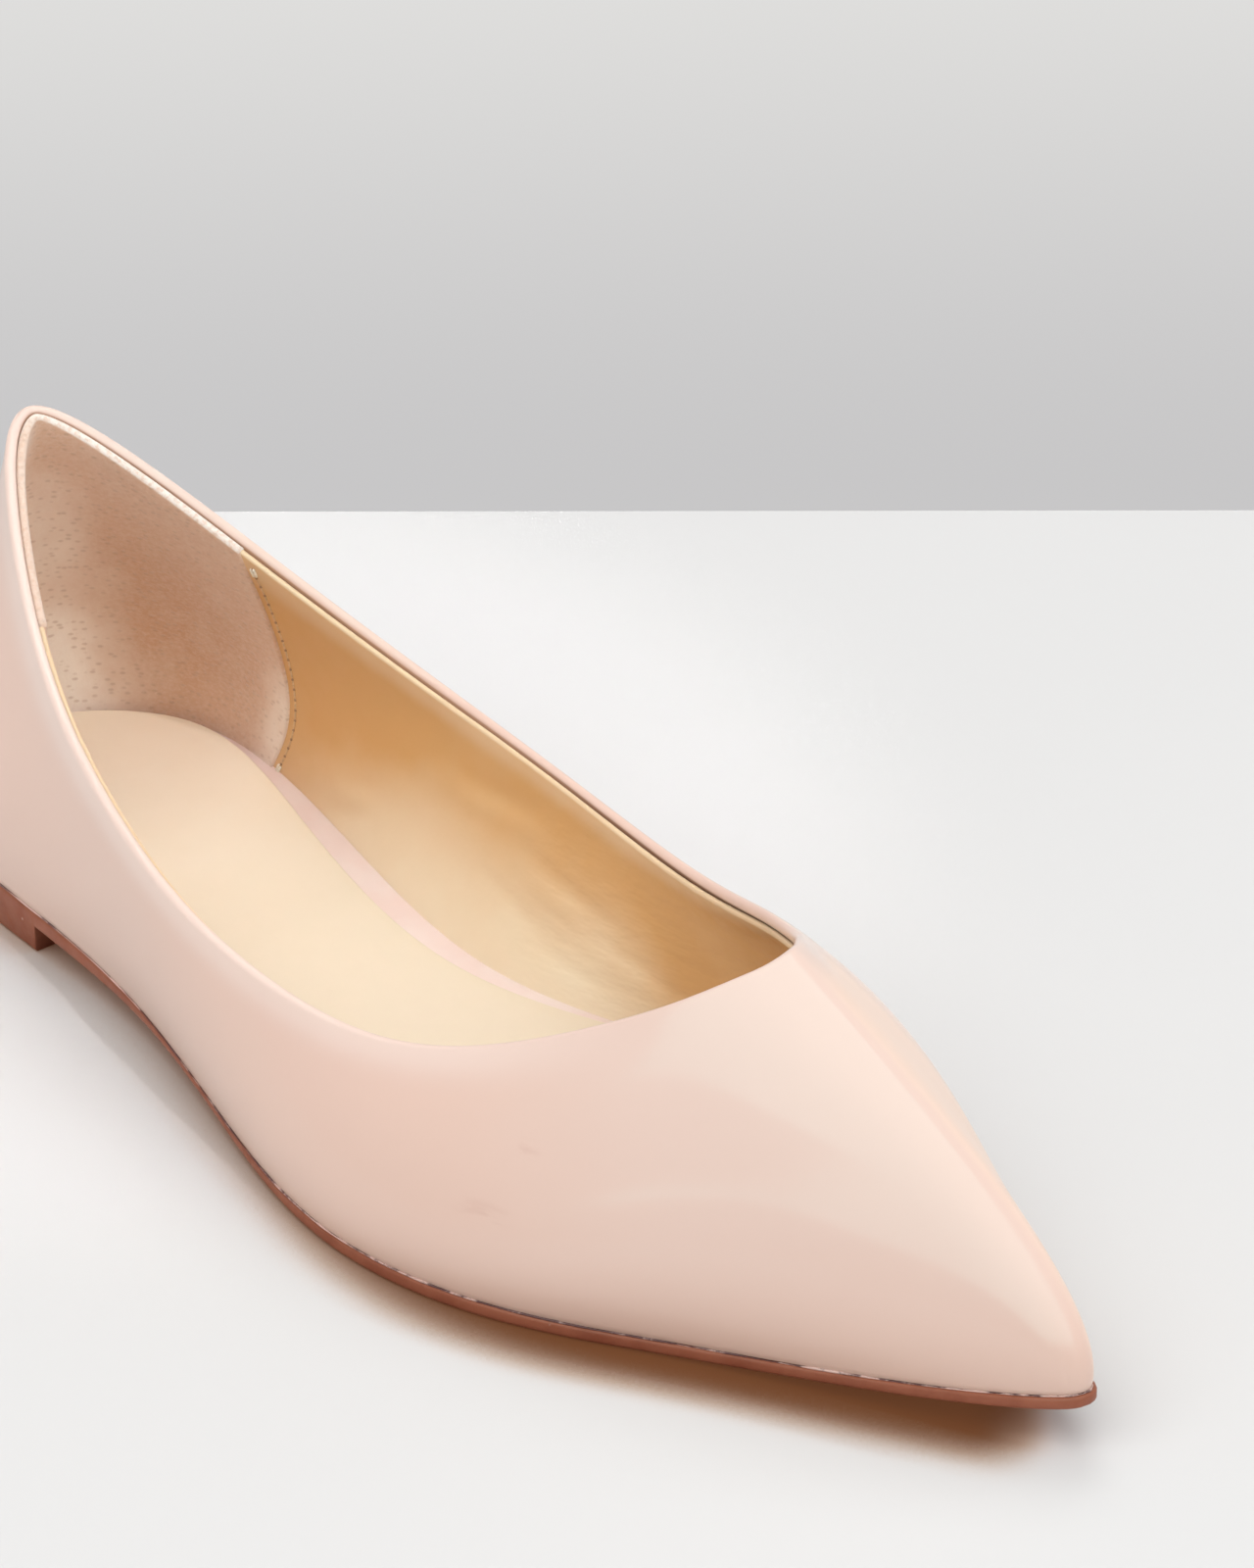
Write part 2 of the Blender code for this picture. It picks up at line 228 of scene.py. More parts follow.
def wall_handles(places):
    """The four handles of the wall's curve at each place: foot, bulge, crown, rim."""
    values = np.moveaxis(closed_values(SPOKE_CONTROL, places), -1, 0)
    foot_x, foot_y, rim_x, rim_y, rim_z = values[:5]
    bulge_out, bulge_up, crown_out, crown_drop = values[5:]
    plan, out = foot_outline(places)
    foot = np.stack([foot_x, foot_y, sole_top(foot_x) + GAP], -1)
    rim = np.stack([rim_x, rim_y, rim_z], -1)
    bulge = foot + np.stack([out[..., 0] * bulge_out, out[..., 1] * bulge_out, bulge_up], -1)
    lean = plan - rim[..., :2]
    reach = np.linalg.norm(lean, axis=-1, keepdims=True)
    share = np.clip((reach - LEAN_START) / (LEAN_END - LEAN_START), 0, 1)
    away = unit(share * lean / np.maximum(reach, TINY) + (1 - share) * out)
    crown = rim + np.stack([away[..., 0] * crown_out, away[..., 1] * crown_out, -crown_drop], -1)
    return foot, bulge, crown, rim


def wall_point(places, heights):
    """Points of the outer wall; places and heights have the same shape."""
    foot, bulge, crown, rim = wall_handles(places)
    t = np.asarray(heights)[..., None]
    return (1 - t) ** 3 * foot + 3 * (1 - t) ** 2 * t * bulge + 3 * (1 - t) * t ** 2 * crown + t ** 3 * rim


def wall_frame(places, heights):
    """Points of the outer wall with their outward and rising directions."""
    foot, bulge, crown, rim = wall_handles(places)
    t = np.asarray(heights)[..., None]
    rise = (1 - t) ** 2 * (bulge - foot) + 2 * (1 - t) * t * (crown - bulge) + t ** 2 * (rim - crown)
    along = wall_point(places + SMALL, heights) - wall_point(places - SMALL, heights)
    out = unit(np.cross(rise, along))
    return wall_point(places, heights), out, unit(rise)


def rim_share(places, depth):
    """Height share of the wall that lies the given depth under the collar edge."""
    _, _, crown, rim = wall_handles(places)
    return 1 - depth / (3 * np.linalg.norm(rim - crown, axis=-1))


def below_rim(points, places):
    """Distance of wall points from the collar edge above them."""
    return np.linalg.norm(points - wall_handles(places)[3], axis=-1)


# A crease keeps this share of its depth at its ends
CREASE_END = 0.35


def crease_depth(points, creases):
    """How far each point sinks in the soft creases near it."""
    sunk = np.zeros(points.shape[:-1])
    for crease in creases:
        a = wall_point(np.array(crease.place_a), np.array(crease.height_a))
        b = wall_point(np.array(crease.place_b), np.array(crease.height_b))
        along = b - a
        share = np.clip(((points - a) @ along) / (along @ along), 0, 1)
        apart = np.linalg.norm(points - a - share[..., None] * along, axis=-1)
        taper = CREASE_END + (1 - CREASE_END) * np.sin(np.pi * np.clip(share, 0.05, 0.95))
        sunk += crease.depth * taper * np.exp(-(apart / crease.width) ** 2)
    return sunk


def shifted(points):
    """Table points in the model's frame and units."""
    return (np.asarray(points, float) - np.array([CENTRE_X, CENTRE_Y, 0.0])) * MM


def placed(name, data):
    """A named object in the scene."""
    made = bpy.data.objects.new(name, data)
    bpy.context.scene.collection.objects.link(made)
    return made


def new_mesh(name, points, faces, look):
    """A named mesh in the scene."""
    mesh = bpy.data.meshes.new(name)
    mesh.from_pydata(np.asarray(points).tolist(), [], faces)
    mesh.materials.append(look)
    return placed(name, mesh)


def make_mesh(name, points, faces, look):
    """A named piece with outward faces, riding on the shoe."""
    made = new_mesh(name, shifted(points), faces, look)
    mesh = made.data
    build = bmesh.new()
    build.from_mesh(mesh)
    bmesh.ops.recalc_face_normals(build, faces=build.faces)
    build.to_mesh(mesh)
    build.free()
    mesh.polygons.foreach_set("use_smooth", [True] * len(mesh.polygons))
    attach(made, "root")
    return made


def ring_faces(rows, columns, closed_rows, closed_columns):
    """Quads of a grid stored row after row."""
    faces = []
    for i in range(rows if closed_rows else rows - 1):
        low = i * columns
        high = ((i + 1) % rows) * columns
        for j in range(columns if closed_columns else columns - 1):
            after = (j + 1) % columns
            faces.append((low + j, low + after, high + after, high + j))
    return faces


def point_values(made, name, values):
    """A float on every point, for the material."""
    flat = np.ascontiguousarray(values, np.float32).ravel()
    made.data.attributes.new(name, "FLOAT", "POINT").data.foreach_set("value", flat)


def smooth_step(value, low, high):
    """Zero below the low end, one above the high end, with a soft run between them."""
    share = np.clip((value - low) / (high - low), 0, 1)
    return share * share * (3 - 2 * share)


def band(value, rise_from, rise_to, fall_from, fall_to):
    """One between two soft ends, zero outside them."""
    return smooth_step(value, rise_from, rise_to) * (1 - smooth_step(value, fall_from, fall_to))


# Pieces

UPPER_COLUMNS = len(SPOKES) * 20
UPPER_PLACES = np.arange(UPPER_COLUMNS) * len(SPOKES) / UPPER_COLUMNS
WALL_ROWS = 46
INNER_ROWS = 14
ROLL_STEPS = 14

# Lasted edge of the leather: inset and height of its rows on the sole, outside and inside
OUTER_FEET = ((1.6, 0.12), (0.5, 0.08), (0.12, 0.16))
INNER_FEET = ((0.9, 0.9), (1.6, 0.9))

# Where the painted shade of the leather's folded inside starts on the roll, in radians, and the first rows
# of its flap
FOLD_START = 2.6
FOLD_RUN = 0.35
FLAP_ROWS = (0.6, 2.0, FLAP_DEPTH)

# Places of the leather's masks of painted shade, painted highlight and painted reflection: soft start and
# soft end
OUTER_SIDE = (3.6, 5.4, 10.0, 11.0)
INNER_SIDE = (12.0, 13.0, 17.0, 18.5)
INNER_VAMP = (17.8, 19.0, 21.2, 21.9)


def make_leather(look):
    """The outer leather with its lasted edge and the folded collar."""
    places = UPPER_PLACES
    plan, out_plan = foot_outline(places)
    base = sole_top(plan[:, 0])
    top_share = rim_share(places, ROLL)
    rows = []
    masks = {"fold": [], "low": [], "brow_highlight": [], "turned_sheen": []}
    side = band(places, *OUTER_SIDE)
    far = band(places, *INNER_SIDE)
    away = band(places, *INNER_VAMP)
    less_shade_behind_ball = 1 - 0.7 * smooth_step(places, 5.0, 6.5) * (places < BACK_ROW)

    def keep(row, folded, share):
        """One row and its masks of painted light: painted shade on the folded inside, on the low parts and
        on the sides, a painted highlight on the pale brow, and a painted reflection on the vamp that turns
        away.
        """
        rows.append(row)
        rise = np.full(UPPER_COLUMNS, share)
        # Painted shade: darker toward the wall's foot, less so on the outer side behind the ball, and
        # darker on the outer side below the brow and on the inner side near the top.
        feather = (1 - smooth_step(rise, 0.0, 0.45)) * less_shade_behind_ball
        rosy = 0.8 * side * (1 - smooth_step(rise, 0.8, 0.95)) + 0.7 * far * smooth_step(rise, 0.6, 0.9)
        masks["fold"].append(np.full(UPPER_COLUMNS, folded))
        masks["low"].append(np.maximum(feather, rosy) * (1 - folded))
        # Painted highlight: a pale band just under the collar's edge on the outer side.
        masks["brow_highlight"].append(side * smooth_step(rise, 0.86, 0.98) * (1 - folded))
        # Painted reflection on the vamp's far side, which turns away.
        masks["turned_sheen"].append(away * (1 - smooth_step(rise, 0.9, 1.0)) * (1 - folded))

    def levels(feet):
        for inset, height in feet:
            keep(np.column_stack([plan - out_plan * inset, base + height]), 0.0, 0.0)

    levels(OUTER_FEET)
    for share in np.linspace(0, 1, WALL_ROWS + 1):
        points, out, rise = wall_frame(places, share * top_share)
        keep(points - out * crease_depth(points, LEATHER_CREASES)[:, None], 0.0, share)
    centre = points - out * ROLL
    for angle in np.linspace(0, np.pi, ROLL_STEPS + 1)[1:]:
        folded = float(np.clip((angle - FOLD_START) / FOLD_RUN, 0, 1))
        keep(centre + ROLL * (out * math.cos(angle) + rise * math.sin(angle)), folded, 1.0)
    for depth in FLAP_ROWS:
        points, out, _ = wall_frame(places, rim_share(places, ROLL + depth))
        keep(points - out * 2 * ROLL, 1.0, 1.0)
    inner_share = rim_share(places, ROLL + FLAP_DEPTH)
    for share in np.linspace(1, 0, INNER_ROWS):
        points, out, _ = wall_frame(places, share * inner_share)
        keep(points - out * LEATHER_THICK, 1.0, 1.0)
    levels(INNER_FEET)
    faces = ring_faces(len(rows), UPPER_COLUMNS, True, True)
    made = make_mesh("patent_upper", np.concatenate(rows), faces, look)
    for name, values in masks.items():
        point_values(made, name, np.concatenate(values))
    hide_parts("upper")


LINING_ROWS = 40
LINING_CROWD = 0.8
EDGE_STEPS = 7


def lining_inset(depth, depth_top, extra):
    """Distance from the leather's outer face to a lining's inner face, which is fuller at its top edge."""
    thick_top = 2 * LINING_EDGE + extra
    settle = smooth_step(depth, depth_top, depth_top + LINING_SETTLE)
    return LINING_FRONT + thick_top + (LINING_THICK + extra - thick_top) * settle


def lining_rows(place_at, extra, rise_by, creases):
    """Cross rows of a lining sheet: inner face up, rounded top edge, back face down."""
    kept = []
    depth_top = ROLL + LINING_DROP - rise_by
    shares = np.linspace(0, 1, LINING_ROWS) ** LINING_CROWD

    def keep(points, places, share, is_edge):
        kept.append((points, np.full(len(places), is_edge), np.full(len(places), share), places))

    for share in shares:
        places = place_at(share)
        points, out, rise = wall_frame(places, share * rim_share(places, depth_top))
        inset = lining_inset(below_rim(points, places), depth_top, extra) - crease_depth(points, creases)
        keep(points - out * inset[:, None], places, share, 0.0)
    radius = LINING_EDGE + extra / 2
    centre = points - out * (LINING_FRONT + radius)
    for angle in np.linspace(0, np.pi, EDGE_STEPS + 1)[1:]:
        keep(centre + radius * (-out * math.cos(angle) + rise * math.sin(angle)), places, 1.0, 1.0)
    for share in shares[-2::-1]:
        places = place_at(share)
        points, out, _ = wall_frame(places, share * rim_share(places, depth_top))
        keep(points - out * LINING_FRONT, places, share, 0.0)
    points, edge, height, place = [np.array(rows) for rows in zip(*kept)]
    return points.reshape(-1, 3), edge, height, place


# Steps from the back row where the lining's painted pale foot reaches higher
HIGHER_LIGHT_BAND = (1.9, 3.4, 4.5, 5.5)


def make_lining(look):
    """Smooth quarter and vamp lining."""
    points, edge, height, place = lining_rows(lambda share: UPPER_PLACES, 0.0, 0.0, LINING_CREASES)
    faces = ring_faces(len(edge), UPPER_COLUMNS, True, True)
    made = make_mesh("quarter_lining", points, faces, look)
    # Painted light: the lining is paler toward its foot, as bounce light from the footbed, reaching higher
    # a few steps from the back, with a painted highlight in a band under its top edge.
    higher_light = band(np.abs(place - BACK_ROW), *HIGHER_LIGHT_BAND)
    point_values(made, "edge", edge)
    top_highlight = 0.35 * smooth_step(height, 0.84, 0.98)
    point_values(made, "pale", top_highlight + 1 - smooth_step(height - 0.5 * higher_light, -0.45, 0.28))


HEEL_COLUMNS = 150


def make_heel_lining(look):
    """Suede heel grip over the lining, ending in a curved front seam on both sides."""
    across = np.linspace(0, 1, HEEL_COLUMNS)

    def place_at(share):
        inner = float(seam_place(share))
        outer = 2 * BACK_ROW - inner
        return outer + across * (inner - outer)

    points, edge, height, place = lining_rows(place_at, LINER_EXTRA, LINER_RISE, [])
    count = len(edge)
    faces = ring_faces(count, HEEL_COLUMNS, True, False)
    for end in (0, HEEL_COLUMNS - 1):
        for i in range(count // 2 - 1):
            facing = count - 1 - i
            faces.append(tuple(row * HEEL_COLUMNS + end for row in (i, i + 1, facing - 1, facing)))
    made = make_mesh("heel_lining", points, faces, look)
    from_back = np.abs(place - BACK_ROW)
    # Painted light on the suede: a pale, lit back and a painted highlight by the foot of the front seam.
    lit_back = (1 - smooth_step(from_back, 0.3, 0.95)) * (1 - 0.45 * smooth_step(height, 0.2, 0.45))
    seam_highlight = 0.5 * smooth_step(from_back, 1.68, 1.98) * (1 - smooth_step(height, 0.28, 0.6))
    point_values(made, "pale", lit_back * (1 - smooth_step(height, 0.68, 0.92)) + seam_highlight)
    # Painted shade in the middle of each side.
    shaded_middle = np.exp(-((from_back - 1.3) / 0.8) ** 2 - ((height - 0.46) / 0.36) ** 2)
    point_values(made, "shaded_middle", shaded_middle)
    point_values(made, "edge", edge * (1 - 0.65 * smooth_step(BACK_ROW - place, -0.2, 0.5)))


# Rounded end of a thread: how far each ring stands past the end and how wide it is, in radii
THREAD_END = ((0.8, 0.35), (0.4, 0.8), (0.0, 1.0))
THREAD_SIDES = 8
THREAD_ARCH = 0.5


def capsule(start, end, out, radius):
    """Points and faces of a short rounded thread between two points."""
    sides = THREAD_SIDES
    along = unit(end - start)
    side = unit(np.cross(along, out))
    lift = np.cross(side, along)
    points = []
    span = np.linalg.norm(end - start)
    stations = [(start - along * radius * past, width) for past, width in THREAD_END]
    stations += [(end + along * radius * past, width) for past, width in reversed(THREAD_END)]
    middle = 0.5 * (start + end)
    for place, width in stations:
        arch = 1 - (2 * np.linalg.norm(place - middle) / (span + 2 * radius)) ** 2
        for k in range(sides):
            turn = 2 * np.pi * k / sides
            ring = side * math.cos(turn) + lift * math.sin(turn)
            points.append(place + ring * radius * width + lift * radius * THREAD_ARCH * arch)
    faces = ring_faces(len(stations), sides, False, True)
    faces.append(tuple(range(sides)))
    faces.append(tuple((len(stations) - 1) * sides + k for k in range(sides)))
    return points, faces


def joined(parts):
    """Several point and face lists as one."""
    points = []
    faces = []
    for some_points, some_faces in parts:
        base = len(points)
        points.extend(some_points)
        faces.extend(tuple(base + index for index in face) for face in some_faces)
    return points, faces


# Seam of the heel lining: height shares of its ends, lead over the cut edge in places, then millimetres
SEAM_FOOT = 0.03
SEAM_HEAD = 0.985
SEAM_SAMPLES = 400
SEAM_LEAD = 0.055
STITCH_STEP = 1.75
STITCH_ENDS = (0.2, 0.8)
STITCH_RADIUS = 0.17
HOLE_RADIUS = 0.26
HOLE_HALF = 0.05
HOLE_SUNK = 0.12
TIE_RADIUS = 0.22
TIE_APART = 0.28
TIE_RAISED = 0.12
TIE_LENGTH = 1.3


def seam_points(side):
    """Even points along the heel lining's front seam, just ahead of its cut edge."""
    shares = np.linspace(SEAM_FOOT, SEAM_HEAD, SEAM_SAMPLES)
    inner = seam_place(shares) + SEAM_LEAD
    places = inner if side > 0 else 2 * BACK_ROW - inner
    depth_top = ROLL + LINING_DROP
    points, out, _ = wall_frame(places, shares * rim_share(places, depth_top))
    line = points - out * lining_inset(below_rim(points, places), depth_top, 0.0)[:, None]
    length = np.concatenate([[0], np.cumsum(np.linalg.norm(np.diff(line, axis=0), axis=1))])
    wanted = np.arange(0, length[-1], STITCH_STEP)
    even = np.stack([np.interp(wanted, length, line[:, k]) for k in range(3)], 1)
    facing = unit(np.stack([np.interp(wanted, length, -out[:, k]) for k in range(3)], 1))
    return even, facing


def make_seams(thread_look, hole_shade_look, tie_look):
    """Stitch row with needle holes, and a tied end at the top and foot of each seam."""
    threads = []
    holes = []
    ties = []
    for side in (1, -1):
        line, facing = seam_points(side)
        for i in range(len(line) - 1):
            a, b = [line[i] + (line[i + 1] - line[i]) * share for share in STITCH_ENDS]
            threads.append(capsule(a, b, facing[i], STITCH_RADIUS))
        for i in range(len(line)):
            # Dark beads at the needle holes, as painted shade.
            along = unit(line[min(i + 1, len(line) - 1)] - line[max(i - 1, 0)])
            a = line[i] - along * HOLE_HALF - facing[i] * HOLE_SUNK
            b = line[i] + along * HOLE_HALF - facing[i] * HOLE_SUNK
            holes.append(capsule(a, b, facing[i], HOLE_RADIUS))
        for i, reach in ((0, 1), (len(line) - 1, -2)):
            ahead = line[max(min(i + reach, len(line) - 1), 0)] - line[i]
            across = unit(np.cross(unit(ahead), facing[i]))
            for shift in (-TIE_APART, TIE_APART):
                a = line[i] + across * shift + facing[i] * TIE_RAISED
                b = a + unit(ahead) * TIE_LENGTH
                ties.append(capsule(a, b, facing[i], TIE_RADIUS))
    for name, parts, look in (
        ("seam_thread", threads, thread_look),
        ("seam_holes", holes, hole_shade_look),
        ("seam_ties", ties, tie_look),
    ):
        points, faces = joined(parts)
        piece = make_mesh(name, np.array(points), faces, look)


# Cross stations of the sole, board and footbed: close together at the heel's end, then even
FINE_PLACES = 12001
HEEL_STATIONS = (0.12, 0.4, 0.9, 1.6, 2.6, 3.8, 5.2, 6.8)
EVEN_START = 8.5
STATION_STEP = 2.4
BREAST_CLEAR = 0.6
BREAST_AHEAD = 0.8

# How much farther a plate without tip stations draws back at the toe point
TIP_PULL = 2.1


def station_places(first, last_x, step):
    """Places on the outer and inner side at the same cross stations, toe to heel."""
    fine = np.linspace(0, len(SPOKES), FINE_PLACES)
    plan, _ = foot_outline(fine)
    heel_x = plan[:, 0].min()
    ends = heel_x + np.array(HEEL_STATIONS)
    steps = np.arange(heel_x + EVEN_START, BREAST_X - BREAST_CLEAR, step)
    front = np.arange(BREAST_X + BREAST_RUN + BREAST_AHEAD, last_x - 0.5 * step, step)
    breast = [BREAST_X, BREAST_X + BREAST_RUN]
    tip = plan[:, 0].max() - np.array(first)
    stations = np.sort(np.concatenate([ends, steps, breast, front, [last_x], tip]))[::-1]
    outer = fine <= BACK_ROW
    inner = fine >= BACK_ROW
    outer_places = np.interp(stations, plan[outer, 0][::-1], fine[outer][::-1])
    inner_places = np.interp(stations, plan[inner, 0], fine[inner])
    return outer_places, inner_places


def make_plate(name, last_x, first, rings, look, lanes, top_shape=None):
    """A closed sheet between rings; its top and bottom are grids of lanes across the shoe."""
    outer, inner = station_places(first, last_x, STATION_STEP)
    places = np.concatenate([[0.0], outer, [float(BACK_ROW)], inner[::-1]])
    plan, out = foot_outline(places)
    count = len(places)
    half = len(outer)
    points = []
    for inset, height in rings:
        depth = inset(plan[:, 0])
        ring = plan - out * depth[:, None]
        ring[0] = plan[0] - np.array([depth[0] * (1.0 if first else TIP_PULL), 0.0])
        points.append(np.column_stack([ring, height(plan[:, 0])]))
    faces = ring_faces(len(rings), count, False, True)
    points = np.concatenate(points)
    extra = []
    shares = np.linspace(0, 1, lanes + 1)[1:-1]
    for base, is_top in ((0, True), ((len(rings) - 1) * count, False)):
        lane_rows = []
        for i in range(1, half + 1):
            a = base + i
            b = base + count - i
            row = [a]
            for share in shares:
                place = points[a] + (points[b] - points[a]) * share
                if is_top and top_shape is not None:
                    place = place + np.array([0, 0, top_shape(place[0], share)])
                row.append(len(points) + len(extra))
                extra.append(place)
            row.append(b)
            lane_rows.append(row)
        faces.append(tuple([base] + lane_rows[0]))
        for near, far in zip(lane_rows[:-1], lane_rows[1:]):
            for k in range(lanes):
                faces.append((near[k], near[k + 1], far[k + 1], far[k]))
        faces.append(tuple([base + half + 1] + lane_rows[-1]))
    points = np.concatenate([points, np.array(extra)])
    return make_mesh(name, points, faces, look)


QUARTER_TURN = np.pi / 2
ROUND_STEPS = 3


def round_rings(inset, face, radius, first, last, side, deepest=None):
    """Rings of a rounded edge between two angles; side is -1 under a top face and 1 over a bottom face."""
    rings = []
    for angle in np.linspace(first, last, ROUND_STEPS + 1):

        def ring_inset(x, shrink=radius * (1 - math.sin(angle))):
            return inset(x) + shrink

        def ring_height(x, drop=radius * (1 - math.cos(angle))):
            return face(x) + side * (np.minimum(drop, deepest(x)) if deepest else drop)

        rings.append((ring_inset, ring_height))
    return rings


def arc_rings(inset, top, bottom, radius):
    """Rings of a sheet's rounded edge, from its top face down to its bottom face."""
    above = round_rings(inset, top, radius, 0, QUARTER_TURN, -1)
    return above + round_rings(inset, bottom, radius, QUARTER_TURN, 0, 1)


# Front ends of the plates' even stations, extra stations at the sole's tip, edge radii and lanes across
SOLE_FRONT = 248.0
BOARD_FRONT = 243.0
SOCK_FRONT = 236.0
SOLE_TIP = (0.25, 0.6, 1.2, 2.4)
SOLE_ROUND = 0.45
SOLE_DEEPEST = 0.4
SOLE_MIDDLE = 0.55
BOARD_ROUND = 0.15
SOCK_ROUND = 0.55
SOCK_LIFT = 0.02
LANES = 16
SOCK_LANES = 22


def make_outsole(look):
    """Moulded rubber sole with its low heel in one piece."""

    def flush(x):
        return -proud(x)

    def tapered(x):
        return np.where(x < BREAST_X + 0.5 * BREAST_RUN, HEEL_TAPER, 0.0) - proud(x)

    def deepest(x):
        return SOLE_DEEPEST * thickness(x)

    rings = round_rings(flush, sole_top, SOLE_ROUND, 0, QUARTER_TURN, -1, deepest)
    rings.append((flush, lambda x: sole_top(x) - SOLE_MIDDLE * thickness(x)))
    rings += round_rings(tapered, sole_bottom, SOLE_ROUND, QUARTER_TURN, 0, 1, deepest)
    made = make_plate("rubber_sole", SOLE_FRONT, SOLE_TIP, rings, look, LANES)
    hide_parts("outsole")


def make_board(look):
    """Covered insole board whose rim shows along the arch."""

    def edge(x):
        return np.full_like(x, UPPER_WALL + GAP - BOARD_TUCK)

    def top(x):
        return sole_top(x) + GAP + BOARD_THICK

    def bottom(x):
        return sole_top(x) + GAP

    rings = arc_rings(edge, top, bottom, BOARD_ROUND)
    made = make_plate("insole_cover", BOARD_FRONT, (), rings, look, LANES)
    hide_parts("insole_board")


def make_sock(look):
    """Thin footbed sheet with a soft, faintly uneven face."""

    def edge(x):
        return UPPER_WALL + GAP + sock_margin(x)

    def bottom(x):
        return sole_top(x) + GAP + BOARD_THICK + SOCK_LIFT

    def top(x):
        return bottom(x) + SOCK_THICK + GAP

    def uneven(x, share):
        swell = math.sin(math.pi * share)
        ripple = 0.12 * math.sin(x / 21.0 + 2 * share)
        heel_dip = 0.25 * math.exp(-((x - 30) / 22) ** 2)
        return swell * (ripple - heel_dip)

    rings = arc_rings(edge, top, bottom, SOCK_ROUND)
    made = make_plate("footbed", SOCK_FRONT, (), rings, look, SOCK_LANES, uneven)
    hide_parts("sock_lining")


GLUE_COLUMNS = 1400
GLUE_SIDES = 6
GLUE_SEED = 7


def wrapped_mean(values, weights, margin):
    """A running mean round a closed row of values."""
    padded = np.concatenate([values[-margin:], values, values[:margin]])
    return np.convolve(padded, weights, "same")[margin:-margin]


def make_glue(look):
    """Ragged line of cement and frayed finish along the feather edge."""
    count = GLUE_COLUMNS
    sides = GLUE_SIDES
    places = np.arange(count) * len(SPOKES) / count
    plan, out = foot_outline(places)
    chance = np.random.default_rng(GLUE_SEED)
    rough = chance.normal(size=count)
    smooth = wrapped_mean(rough, np.hanning(25) / 6, 12)
    fine = wrapped_mean(rough, np.ones(5) / 5, 3)
    radius = np.clip(0.15 + 0.06 * smooth + 0.07 * fine, 0.05, 0.34)
    centre = np.column_stack([plan + out * 0.02, sole_top(plan[:, 0]) + 0.1 + 0.05 * fine])
    rows = []
    for k in range(sides):
        turn = 2 * np.pi * k / sides
        ring = np.column_stack([out * math.cos(turn), np.full(count, math.sin(turn))])
        rows.append(centre + ring * radius[:, None])
    faces = ring_faces(sides, count, True, True)
    made = make_mesh("feather_cement", np.concatenate(rows), faces, look)


# Materials

